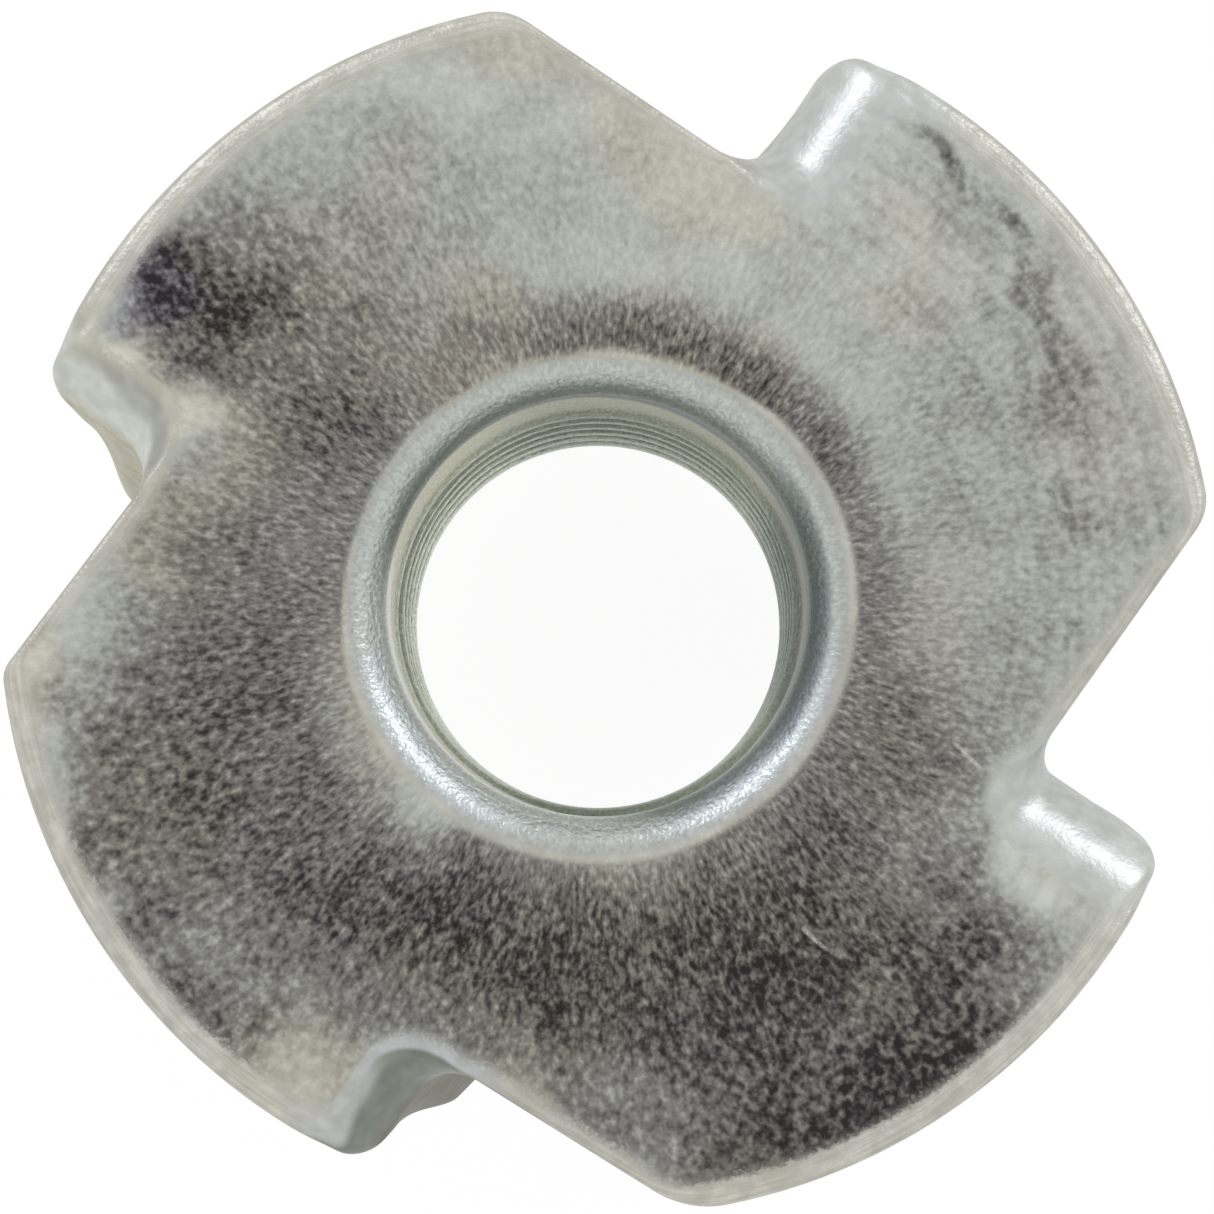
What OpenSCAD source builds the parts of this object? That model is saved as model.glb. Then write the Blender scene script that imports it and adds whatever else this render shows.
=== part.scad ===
// Tee nut (drive-in nut) for a 10 mm screw: one blank of steel sheet, drawn
// into a barrel under a round flange, with four prongs sheared out of the
// flange's rim and folded down beside the barrel.
// Frame: +Z up, origin on the thread's axis at the end of the barrel, where
// the nut stands; the driving face of the flange is the top.

/* [Flange] */
// Outer diameter of the flange
flange_d = 25.5; // [24.5:0.5:28]
// Thickness of the sheet, kept by the flange and the prongs
sheet_t = 1.5; // [1.2:0.1:1.7]
// Rounding of the driving face's rim, left by the blanking die
rim_r = 0.6; // [0.2:0.1:1]

/* [Barrel] */
// Outer diameter of the barrel
barrel_d = 12; // [11.4:0.2:13]
// Height of the whole nut, from the barrel's end to the driving face
nut_h = 13; // [11:0.5:18]
// Fillet between the barrel and the flange's underside
neck_r = 0.5; // [0.2:0.1:0.8]
// Chamfer outside the barrel's end
end_bevel = 0.3; // [0.1:0.1:0.6]

/* [Bore] */
// Minor diameter of the thread, which the bore has as a plain cylinder
minor_d = 8.5; // [8:0.05:8.8]
// Diameter of the plain throat between the drawn lip and the thread
throat_d = 8.9; // [8.85:0.05:9.2]
// Depth from the driving face at which the thread starts
throat_depth = 4; // [2.5:0.25:5]
// Radius of the drawn lip round the mouth
lip_r = 1; // [0.6:0.1:1.2]
// Depth of the lead-in chamfer at the barrel's end
lead_in = 0.8; // [0.2:0.1:1]

/* [Prongs] */
// Number of prongs
prong_count = 4; // [3:1:4]
// Distance of each sheared edge from the thread's axis
shear_dist = 9.35; // [9:0.05:9.8]
// Start of each fold, measured across from the axis
fold_start = 0.6; // [0.2:0.1:1]
// Inside radius of the fold
fold_r = 0.3; // [0.2:0.1:0.6]
// Angle of the fold
fold_deg = 82; // [78:1:90]
// How far a prong's rim stands out beyond the blank's, where the fold ends
rim_out = 0.16; // [0.1:0.02:0.2]

/* [Notches] */
// Distance from the fold's axis to the axis of the rounding in the root
root_reach = 2.35; // [2.1:0.05:2.6]
// Slope of the web that ties a prong's root to the sheared edge
web_slope = 1.2; // [0.8:0.1:1.4]
// Rounding of the sheared edge at its tip, down from the fold's at the root
edge_r = 0.35; // [0.2:0.05:0.6]
// Rounding of the flange's tips, in plan, where a sheared edge meets the rim
tip_r = 0.8; // [0.4:0.1:1]
// Rounding of the corner where a fold runs out at the rim
corner_r = 0.9; // [0.5:0.1:1.2]

/* [Hidden] */
$fn = 60;
// Small overlap that lets joined solids share volume, and the reach of a cut
// beyond what it cuts
eps = 0.01;
over = 1;
// Step in from the fold's rim to the flat's, which keeps them from almost meeting
rim_step = 0.04;
zinc = [0.72, 0.73, 0.70];
flange_r = flange_d / 2;
barrel_r = barrel_d / 2;
minor_r = minor_d / 2;
throat_r = throat_d / 2;
under_z = nut_h - sheet_t;
far = 2 * flange_r;
// Outside radius of the fold, and where its outer face turns into the prong's
fold_outer = fold_r + sheet_t;
face_y = fold_start + fold_outer * sin(fold_deg);
// Rounding in the root of a notch, and the place of its axis
root_r = root_reach - fold_outer * sin(fold_deg);
root_x = shear_dist + root_r;
root_y = fold_start + root_reach;
// Sheet used up by the fold, across the blank, and length of the flat below
// it, down to the prong's point
fold_used = fold_start + (fold_r + sheet_t / 2) * fold_deg * PI / 180;
flat_l = sqrt(pow(flange_r, 2) - pow(shear_dist - rim_out, 2)) - fold_used;
// Length of a sheared edge, from the root out to the rim
edge_l = sqrt(pow(flange_r, 2) - pow(shear_dist, 2)) - root_y;

// Section of the barrel and the flange on the right of the axis, up to
// beyond the rim
module body_section() {
    difference() {
        union() {
            square([barrel_r, nut_h]);
            translate([0, under_z]) square([flange_r + over, sheet_t]);
            translate([barrel_r - eps, under_z - neck_r]) square([neck_r + eps, neck_r + eps]);
        }
        translate([barrel_r + neck_r, under_z - neck_r]) circle(neck_r);
        bore_section();
        translate([barrel_r, 0]) rotate(45) square(end_bevel * sqrt(2), center = true);
    }
}

// What the bore takes out of that section, from the lead-in up to the lip
module bore_section() {
    translate([-eps, -eps]) square([minor_r + eps, nut_h + over]);
    translate([-eps, nut_h - throat_depth]) square([throat_r + eps, throat_depth + over]);
    polygon([[0, -lead_in], [minor_r + 2 * lead_in, -lead_in], [minor_r, lead_in], [0, lead_in]]);
    difference() {
        translate([0, nut_h - lip_r]) square([throat_r + lip_r, lip_r + over]);
        translate([throat_r + lip_r, nut_h - lip_r]) circle(lip_r);
    }
}

// Space inside the blank's rim, rounded at the driving face
module rim_envelope() {
    rotate_extrude() difference() {
        square([flange_r, nut_h]);
        difference() {
            translate([flange_r - rim_r, nut_h - rim_r]) square(rim_r + over);
            translate([flange_r - rim_r, nut_h - rim_r]) circle(rim_r);
        }
    }
}

// Plan of one notch, drawn from the axis of its root: beyond the sheared edge,
// which faces +X, beyond the start of the fold, and round the root between them
module notch_plan() {
    translate([-root_r, 0]) square(far);
    translate([0, -root_reach]) square(far);
    intersection() {
        circle(root_reach);
        translate([-far, -far]) square(far);
    }
    translate([-root_x, -root_y]) tip_round();
}

// Plan of what rounds the flange's tip, where a sheared edge meets the rim
module tip_round() {
    centre_x = shear_dist - tip_r;
    centre_y = sqrt(pow(flange_r - tip_r, 2) - pow(centre_x, 2));
    rim_x = centre_x * flange_r / (flange_r - tip_r);
    rim_y = centre_y * flange_r / (flange_r - tip_r);
    difference() {
        polygon([[shear_dist, centre_y], [rim_x, rim_y], [rim_x, far], [far, far], [far, centre_y]]);
        translate([centre_x, centre_y]) circle(tip_r);
    }
}

// Plan of what lies outside the rim beside a prong whose face is at y = face,
// with the corner between that face and the rim rounded
module outside_rim(face) {
    centre_y = face - corner_r;
    centre_x = sqrt(pow(flange_r - corner_r, 2) - pow(centre_y, 2));
    rim_x = centre_x * flange_r / (flange_r - corner_r);
    rim_y = centre_y * flange_r / (flange_r - corner_r);
    difference() {
        polygon([[centre_x, face], [rim_x, rim_y], [far, rim_y], [far, far], [centre_x, far]]);
        translate([centre_x, centre_y]) circle(corner_r);
    }
    difference() {
        translate([shear_dist, 0]) square([far, face]);
        circle(flange_r);
    }
}

// Section of the fold and of a flat below it, drop long: the fold starts on
// the y axis and turns over towards +x
module bent_section(drop) {
    intersection() {
        difference() {
            circle(fold_outer);
            circle(fold_r);
        }
        polygon([[0, 0], [0, far], [far, far], [far * sin(fold_deg), far * cos(fold_deg)]]);
    }
    rotate(-fold_deg) translate([0, fold_r]) square([drop, sheet_t]);
}

// Root of one notch, drawn from its axis: the fold turned round into the
// sheared edge, with a web below it that runs out on a slope
module root_web() {
    difference() {
        rotate_extrude(angle = 90, start = 180)
            translate([root_reach, nut_h - fold_outer]) mirror([1, 0]) bent_section(root_reach * web_slope);
        translate([-far, 0, under_z]) rotate([atan(web_slope), 0, 0]) translate([0, -far, -far])
            cube([2 * far, 2 * far, far]);
    }
}

// What rounds the sheared edge, drawn from the root's axis: a corner with a
// cone left out, which has the fold's radius at the root and leaves a small
// rounding at the tip
module edge_cut() {
    end_r = sqrt(pow(fold_outer, 2) + pow(fold_outer - edge_r, 2));
    translate([-root_reach, 0, nut_h - fold_outer]) difference() {
        cube([root_reach, edge_l + over, fold_outer + over]);
        rotate([-90, 0, 0]) cylinder(h = edge_l + over, r1 = fold_outer, r2 = end_r);
    }
}

// One prong, set at the fold's axis: its x runs across the fold, y up, z out
module prong() {
    translate([0, fold_start, nut_h - fold_outer]) rotate([90, 0, 90]) {
        difference() {
            translate([0, 0, root_x])
                rotate_extrude(angle = fold_deg, start = 90 - fold_deg)
                    translate([fold_r, 0]) square([sheet_t, flange_r + over - root_x]);
            rotate([-90, -90, 0]) translate([0, -fold_start, -far])
                linear_extrude(2 * far) outside_rim(face_y);
        }
        rotate([0, 0, -fold_deg]) prong_flat();
    }
}

// Flat of the prong: x runs down it, y through the sheet, z out to the rim,
// which is the blank's own round
module prong_flat() {
    difference() {
        rotate([90, 0, 90]) linear_extrude(flat_l) difference() {
            translate([fold_r, shear_dist]) square([sheet_t, flange_r - shear_dist]);
            translate([-fold_start, -rim_step]) mirror([1, -1]) outside_rim(fold_start + fold_outer);
        }
        difference() {
            translate([-eps, 0, shear_dist]) cube([flat_l + over, fold_outer + over, far]);
            translate([-fold_used, -over, rim_out]) rotate([-90, 0, 0])
                cylinder(h = fold_outer + 3 * over, r = flange_r);
        }
    }
}

module tee_nut() {
    color(zinc) intersection() {
        rim_envelope();
        union() {
            difference() {
                rotate_extrude() body_section();
                for (i = [0 : prong_count - 1]) rotate(360 * i / prong_count) translate([root_x, root_y, 0]) {
                    translate([0, 0, under_z - eps]) linear_extrude(sheet_t + over) notch_plan();
                    edge_cut();
                }
            }
            for (i = [0 : prong_count - 1]) rotate(360 * i / prong_count) {
                prong();
                translate([root_x, root_y, 0]) root_web();
            }
        }
    }
}

tee_nut();
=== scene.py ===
"""Dress for a stamped four prong tee nut: its pressed and threaded shell, its zinc plating and the stage.

The nut stands on the end of its barrel, with the driving face up. The shell is one closed surface, a profile
carried round the outline of the blank, so every row of its grid is a closed line round the nut.
"""

import math
from types import SimpleNamespace

import bpy
import numpy as np
from mathutils import Matrix, Vector


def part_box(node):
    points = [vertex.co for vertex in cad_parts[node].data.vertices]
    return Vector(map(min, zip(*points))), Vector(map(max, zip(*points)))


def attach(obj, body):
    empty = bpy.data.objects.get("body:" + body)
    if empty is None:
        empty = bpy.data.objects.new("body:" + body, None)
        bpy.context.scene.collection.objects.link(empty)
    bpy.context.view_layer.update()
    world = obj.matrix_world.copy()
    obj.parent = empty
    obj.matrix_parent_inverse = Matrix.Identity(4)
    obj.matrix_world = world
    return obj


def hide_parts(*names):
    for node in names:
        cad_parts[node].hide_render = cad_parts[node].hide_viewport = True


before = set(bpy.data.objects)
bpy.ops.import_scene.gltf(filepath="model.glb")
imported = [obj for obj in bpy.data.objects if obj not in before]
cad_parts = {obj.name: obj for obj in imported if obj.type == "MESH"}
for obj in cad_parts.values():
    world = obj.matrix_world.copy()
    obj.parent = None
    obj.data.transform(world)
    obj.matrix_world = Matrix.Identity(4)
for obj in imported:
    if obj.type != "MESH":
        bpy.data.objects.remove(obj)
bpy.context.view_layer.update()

bl_info = {
    "name": "Tee nut dress",
    "version": (1, 0, 0),
    "blender": (4, 5, 0),
    "location": "View3D > Sidebar > Tee nut",
    "description": "Pressed shell, thread, plating and stage of a four prong tee nut",
    "category": "Add Mesh",
}

NODE = "tee_nut"
BODY = "root"

MM = 0.001
CAD_LOW, CAD_HIGH = (np.array(corner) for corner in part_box(NODE))
FLANGE_DIAMETER = float(CAD_HIGH[0] - CAD_LOW[0])
HEIGHT = float(CAD_HIGH[2])

# Columns of the shell along each stretch of one quarter of the outline, in order round the nut.
STRETCHES = (("rim", 42), ("corner", 10), ("fold", 14), ("root", 22), ("edge", 22), ("tip", 10))
RIM, CORNER, FOLD, ROOT, EDGE, TIP = range(len(STRETCHES))
# Where the root's columns turn from the deep prong to the shallow web, as shares of the root's turn.
PRONG_SIDE, SIDE_ROUNDED, SIDE_EDGE, SIDE_CLOSED, WEB_STARTS = 0.46, 0.48, 0.5, 0.52, 0.54
# Along that turn, a column's place in the root's width, and how far in mm its prong's rounding sets it in.
PRONG_ALONG_ROOT = ((0.0, PRONG_SIDE, SIDE_ROUNDED, SIDE_EDGE, 1.0), (0.0, 0.79, 0.94, 1.0, 1.0))
PRONG_TAKEN_IN = ((PRONG_SIDE, SIDE_ROUNDED, SIDE_EDGE), (0.0, 0.035, 0.12))
# How strongly the rim's columns draw together at the notch.
RIM_DRAWN = 1.5
# How early the roll's width has changed along the root, and how far the rim starts before a notch, in turns.
ROLL_CHANGE = 1.25
RIM_START = 0.125
OUT = np.array([0.0, 1.0])
INWARD_OF_EDGE = np.array([-1.0, 0.0])

# How much deeper the rim's roll gets near a fold, where the back behind a prong starts to turn and over what
# length in mm, and how high in mm a back stands on its own.
DEEPER_NEAR_FOLD = 0.4
BEHIND_FROM = 0.3
BEHIND_OVER = 1.1
STANDS_ALONE = 0.4
# Lengths in mm of the ledge under the web and of the one up the prong's back, and two clearances.
LEDGE = 0.15
BACK_LEDGE = 2.2
CLEAR_OF_WEB = 0.03
SIDE_CLEARANCE = 0.004
# Most that a wall's rounded end takes of its height and of its thickness, a ledge of the wall, and the fold's
# inner rounding of the back; and how far up the back its own ledge ends at least.
MOST_ROUNDED, MOST_THICKNESS, MOST_LEDGE, MOST_FILLET, LEAST_TOP = 0.45, 0.4, 0.3, 0.6, 0.1
# Where the web's bottom and the prong's side have keys, as shares of their length.
BOTTOM_SHARES = (0.25, 0.3, 0.6, 0.7)
SIDE_SHARES = (0.0, 0.1, 0.2, 0.8, 0.9, 1.0)
# Where a back is too low to stand on its own, shares of the way to the underside's start at its keys.
HANGING_SPREAD = (0.1, 0.3, 0.5, 0.7)
WEB_SPREAD = (0.35, 0.7)
# Along the rim the web's spacing turns into the hanging one from this share, over this share.
WEB_TO_HANGING = (0.1, 0.5)
# Rows of the neck, the barrel's wall, the throat, the lip, the underside and the flat.
NECK_ROWS, WALL_ROWS, THROAT_ROWS, LIP_ROWS, UNDER_ROWS, FLAT_ROWS = 7, 5, 4, 12, 7, 17
# Distance in mm from any edge that the bore's points are given.
FAR_FROM_EDGE = 9.0

# Bearings in the bore of a quarter's columns at the stretches' ends, in degrees from the notch's own axis.
BORE_BEARINGS = (-46.0, -9.0, -4.0, 2.0, 24.0, 39.0, 44.0)

# How fast the distance that shapes the smooth band grows, and where it starts in mm, at the stretches' ends.
BAND_ENDS = ((1.0, 0.9, 0.7, 0.9, 0.9, 0.9, 1.0), (0.07, 0.0, -0.05, -0.1, -0.2, -0.22, 0.07))

# Middle of the blank's rim, a little off the bore's axis, in mm.
RIM_MIDDLE = (0.18, 0.118)

# Each notch as pressed. In degrees: turn off its quarter, lean of its prong, twist of the lean up to the
# root and splay of the sheared edge. In mm: distance of the sheared edge and of the prong's face from the axis,
# radii at the root, corner and tip, and width of the roll. Last, how creased the roll is.
NOTCHES = (
    {"turn": 0.36, "lean": 4.3, "reach": 9.359, "face": 2.481, "root": 0.637, "corner": 0.726,
     "tip": 1.143, "splay": 1.23, "twist": -2.4, "roll": 1.8, "crease": 0.0},
    {"turn": 1.1, "lean": 2.4, "reach": 9.324, "face": 2.33, "root": 0.924, "corner": 0.822,
     "tip": 1.339, "splay": 0.72, "twist": 2.4, "roll": 1.8, "crease": 0.0},
    {"turn": 1.1, "lean": 1.4, "reach": 9.309, "face": 2.633, "root": 0.912, "corner": 0.706,
     "tip": 0.646, "splay": 3.46, "twist": 8.4, "roll": 1.4, "crease": 0.6},
    {"turn": 0.77, "lean": 0.8, "reach": 9.636, "face": 2.541, "root": 0.98, "corner": 0.792,
     "tip": 2.153, "splay": -2.0, "twist": 8.5, "roll": 1.3, "crease": 0.9},
)


def smooth(t):
    """Smooth step: 3t^2 - 2t^3 with t held between 0 and 1."""
    t = np.clip(t, 0.0, 1.0)
    return t * t * (3.0 - 2.0 * t)


def turned(points, angle):
    """Plan points turned about the nut's axis: (cx - sy, sx + cy)."""
    c, s = math.cos(angle), math.sin(angle)
    return np.stack([c * points[..., 0] - s * points[..., 1], s * points[..., 0] + c * points[..., 1]], -1)


def arc(centre, radius, start, end, share):
    """Plan points centre + radius (cos a, sin a), a at the given shares of the way from start to end."""
    a = start + (end - start) * share
    return np.stack([centre[0] + radius * np.cos(a), centre[1] + radius * np.sin(a)], -1)


def straight(start, end, share):
    """Plan points (1 - f) start + f end at the given shares f."""
    f = share[:, None]
    return (1.0 - f) * np.asarray(start) + f * np.asarray(end)


def bearing(v):
    """Angle of a plan vector from +X."""
    return math.atan2(v[1], v[0])


def rounding(normal, reach, middle, rim_radius, radius, side):
    """Centre of a corner rounding that lies `radius` inside the line normal.p = reach and inside the rim.

    With d = reach - radius - normal.middle it is middle + normal d + along side sqrt((rim - radius)^2 - d^2).
    """
    along = np.array([-normal[1], normal[0]])
    d = reach - radius - normal @ middle
    return middle + normal * d + along * side * math.sqrt((rim_radius - radius) ** 2 - d ** 2)


def root_turn():
    """Shares of the root's quarter turn at its columns: even to the prong's side, then even to the edge."""
    count = STRETCHES[ROOT][1]
    deep = count // 2 - 2
    shallow = count - deep - 4
    side = (PRONG_SIDE, SIDE_ROUNDED, SIDE_EDGE, SIDE_CLOSED)
    up_to_side = np.linspace(0.0, PRONG_SIDE, deep, endpoint=False)
    return np.concatenate([up_to_side, side, np.linspace(WEB_STARTS, 1.0, shallow, endpoint=False)])


def stretch_share():
    """Share of its stretch at each column, 0 up to just before 1; the rim's draw together at the notch."""
    shares = [np.arange(count) / count for _, count in STRETCHES]
    shares[RIM] = 1.0 - (1.0 - shares[RIM]) ** RIM_DRAWN
    shares[ROOT] = root_turn()
    return shares


def notch_places(nut, k, inset):
    """Where a notch's lines and roundings are in its own frame, set in by `inset`."""
    notch = NOTCHES[k]
    p = SimpleNamespace(notch=notch, rim_radius=nut["flange"] - inset["rim"])
    p.middle = turned(np.array(RIM_MIDDLE), -notch_bearing(k))
    p.centre = np.array([notch["reach"] + notch["root"], notch["face"] + notch["root"]])
    p.corner_r, p.tip_r = inset["corner"] * notch["corner"], inset["tip"] * notch["tip"]
    p.fold_inset = inset["fold"] * notch["roll"]
    p.fold = notch["face"] - p.fold_inset
    p.corner = rounding(OUT, p.fold, p.middle, p.rim_radius, p.corner_r, -1.0)
    splay = math.radians(notch["splay"])
    p.across = np.array([math.cos(splay), -math.sin(splay)])
    p.edge_start = np.array([notch["reach"] - inset["edge"], p.centre[1]])
    p.tip = rounding(p.across, p.across @ p.edge_start, p.middle, p.rim_radius, p.tip_r, 1.0)
    return p


def outline(nut, inset):
    """Closed plan curve of the blank, set in by `inset` from the outline, as quarters in their notch's frame.

    In a notch's frame +X runs out through the notch. A quarter is the rim's arc up to the notch, the corner's
    arc onto the fold, the straight fold line, the root's quarter turn, the sheared edge and the tip's arc.
    """
    places = [notch_places(nut, k, inset) for k in range(len(NOTCHES))]
    share = stretch_share()
    quarters = []
    for k, p in enumerate(places):
        before = places[k - 1]
        rim_start = bearing(before.tip - before.middle) + notch_bearing(k - 1) - notch_bearing(k)
        rim_start += 2.0 * math.pi * round(-rim_start / (2.0 * math.pi) - RIM_START)
        rim_end = bearing(p.corner - p.middle)
        roll = inset["edge"] + (p.fold_inset - inset["edge"]) * (1.0 - smooth(ROLL_CHANGE * share[ROOT]))
        quarters.append(np.concatenate([
            arc(p.middle, p.rim_radius, rim_start, rim_end, share[RIM]),
            arc(p.corner, p.corner_r, rim_end, 0.5 * math.pi, share[CORNER]),
            straight(p.corner + (0.0, p.corner_r), (p.centre[0], p.fold), share[FOLD]),
            p.centre + (p.notch["root"] + roll)[:, None] * root_normals(share[ROOT]),
            straight(p.edge_start, p.tip + p.across * p.tip_r, share[EDGE]),
            arc(p.tip, p.tip_r, bearing(p.across), bearing(p.tip - p.middle), share[TIP]),
        ]))
    return quarters


def notch_bearing(k):
    """Bearing in radians of a notch's own axis: its quarter and its turn off it."""
    return math.radians(90.0 * k + NOTCHES[k]["turn"])


def root_normals(share):
    """Directions from the root's centre into the sheet: (cos a, sin a) with a = 270 - 90 share degrees."""
    a = (1.5 - 0.5 * share) * math.pi
    return np.stack([np.cos(a), np.sin(a)], -1)


def quarter_columns(nut, k, outer):
    """What a quarter's key points all read, at every column: its stretch, share, lean and walls.

    The prong hangs as deep as the circular blank reached past the fold line:
    depth(x) = roll + cos(lean) (sqrt(R^2 - x^2) - length used by the fold).
    """
    notch = NOTCHES[k]
    share = np.concatenate(stretch_share())
    which = np.repeat(np.arange(len(STRETCHES)), [count for _, count in STRETCHES])
    q = SimpleNamespace(nut=nut, notch=notch, outer=outer, share=share, sheet=nut["sheet"])
    q.rim, q.corner, q.fold, q.root, q.edge, q.tip = [which == j for j in range(len(STRETCHES))]
    q.middle = turned(np.array(RIM_MIDDLE), -notch_bearing(k))
    q.centre = np.array([notch["reach"] + notch["root"], notch["face"] + notch["root"]])
    q.into_root = root_normals(share)
    q.past_rim = (q.middle - outer) / np.linalg.norm(outer - q.middle, axis=1)[:, None]
    twisted = np.select([q.fold, q.root], [smooth(share), 1.0], 0.0)
    q.lean = np.radians(notch["lean"] + notch["twist"] * twisted)
    q.leaning = np.select([q.corner, q.fold, q.root], [smooth(share), 1.0, 1.0 - smooth(share)], 0.0)
    q.roll_end = nut["roll"] * (1.0 - np.sin(q.lean))
    q.near = smooth((outer[:, 1] - notch["face"] + nut["roll"]) / (nut["roll"] - notch["corner"]))

    def prong_depth(x):
        past = np.sqrt(np.maximum(nut["flange"] ** 2 - (x - nut["rim_out"]) ** 2, 0.0)) - nut["fold_used"]
        return q.roll_end + np.cos(q.lean) * np.maximum(past, 0.0)

    # The prong under the root: x of its columns, how far its side's rounding takes them in, and the side.
    q.hanging = q.corner | q.fold | (q.root & (share < SIDE_CLOSED))
    along_root = np.interp(share, *PRONG_ALONG_ROOT)
    q.x = np.where(q.root, q.centre[0] - notch["root"] * along_root, outer[:, 0])
    q.taken_in = np.where(q.root, np.interp(share, *PRONG_TAKEN_IN), 0.0)
    under_prong = prong_depth(q.x) - q.taken_in
    depth = np.where(q.rim, q.sheet + (prong_depth(outer[:, 0]) - q.sheet) * q.near, under_prong)
    q.depth = np.where(q.hanging | q.rim, np.maximum(depth, q.sheet), q.sheet)
    q.drop = roll_drop(q)
    q.back, q.under = sheet_back(q)
    # Depth of the web's sloped bottom, below its outer and its inner wall.
    slope = -nut["web_slope"] * q.into_root[:, 1]
    q.bottom_o = q.sheet + np.where(q.root, slope * notch["root"], 0.0)
    q.bottom_i = q.sheet + np.where(q.root, slope * (notch["root"] + q.sheet), 0.0)
    return q


def roll_drop(q):
    """How far down the roll ends at each column."""
    rim_round, edge_round = q.nut["rim_round"], q.nut["edge_round"]
    corner_start = rim_round * (1.0 + DEEPER_NEAR_FOLD)
    return np.select(
        [q.rim, q.corner, q.fold, q.root, q.edge],
        [
            rim_round + DEEPER_NEAR_FOLD * rim_round * q.near,
            corner_start + (q.roll_end - corner_start) * smooth(q.share),
            q.roll_end,
            q.roll_end + (edge_round - q.roll_end) * smooth(q.share),
            edge_round,
        ],
        edge_round + (rim_round - edge_round) * q.share,
    )


def sheet_back(q):
    """Plan of the sheet's back at each column, and of where the underside starts.

    Behind the prong the underside starts on one straight line, where no column comes outside the one before.
    Along the sheared edge the way in turns from -X to square to the rim.
    """
    nut, notch, outer, sheet = q.nut, q.notch, q.outer, q.sheet
    face_back = notch["face"] - sheet
    fold_back = np.stack([outer[:, 0], np.full(len(q.x), face_back)], -1)
    rim_inset = 0.5 * sheet + nut["fold_inner"]
    rim_back = outer + q.past_rim * 0.5 * sheet
    rim_under = outer + q.past_rim * rim_inset
    behind = smooth((outer[:, 1] - notch["face"] + nut["roll"] + BEHIND_FROM) / BEHIND_OVER)[:, None]
    line_y = face_back - nut["fold_inner"]
    inside = math.sqrt((nut["flange"] - rim_inset) ** 2 - (line_y - q.middle[1]) ** 2)
    queued = np.cumsum((behind[:, 0] > 0.0) & (q.rim | q.corner | q.fold))
    line_x = np.minimum(outer[:, 0], q.middle[0] + inside - nut["queue_step"] * queued)
    fold_under = np.stack([line_x, np.full(len(q.x), line_y)], -1)
    held_under = np.stack([rim_under[:, 0], np.minimum(rim_under[:, 1], line_y)], -1)
    root_back = q.centre + (notch["root"] + sheet) * q.into_root
    turning_in = smooth(q.share)[:, None]
    inward = q.past_rim * turning_in + INWARD_OF_EDGE * (1.0 - turning_in)
    inward = inward / np.linalg.norm(inward, axis=1)[:, None]
    edge_back = outer + inward * sheet * (1.0 - 0.5 * turning_in)
    masks = [m[:, None] for m in (q.rim, q.corner | q.fold, q.root, q.edge)]
    backs = [rim_back * (1.0 - behind) + fold_back * behind, fold_back, root_back, edge_back]
    unders = [held_under * (1.0 - behind) + fold_under * behind, fold_under,
              root_back + q.into_root * nut["fold_inner"], edge_back + inward * nut["fold_inner"]]
    return np.select(masks, backs, rim_back), np.select(masks, unders, rim_under)


def leaned(q, plan, deep, direction, amount):
    """Plan points moved out by the lean: amount (depth - roll) along a direction."""
    return plan + direction * amount * np.maximum(deep - q.roll_end, 0.0)[:, None]


def flatness(rise):
    """1 where the back has no height, down to 0 where it is high enough to stand on its own."""
    return 1.0 - smooth(rise / STANDS_ALONE)


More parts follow.
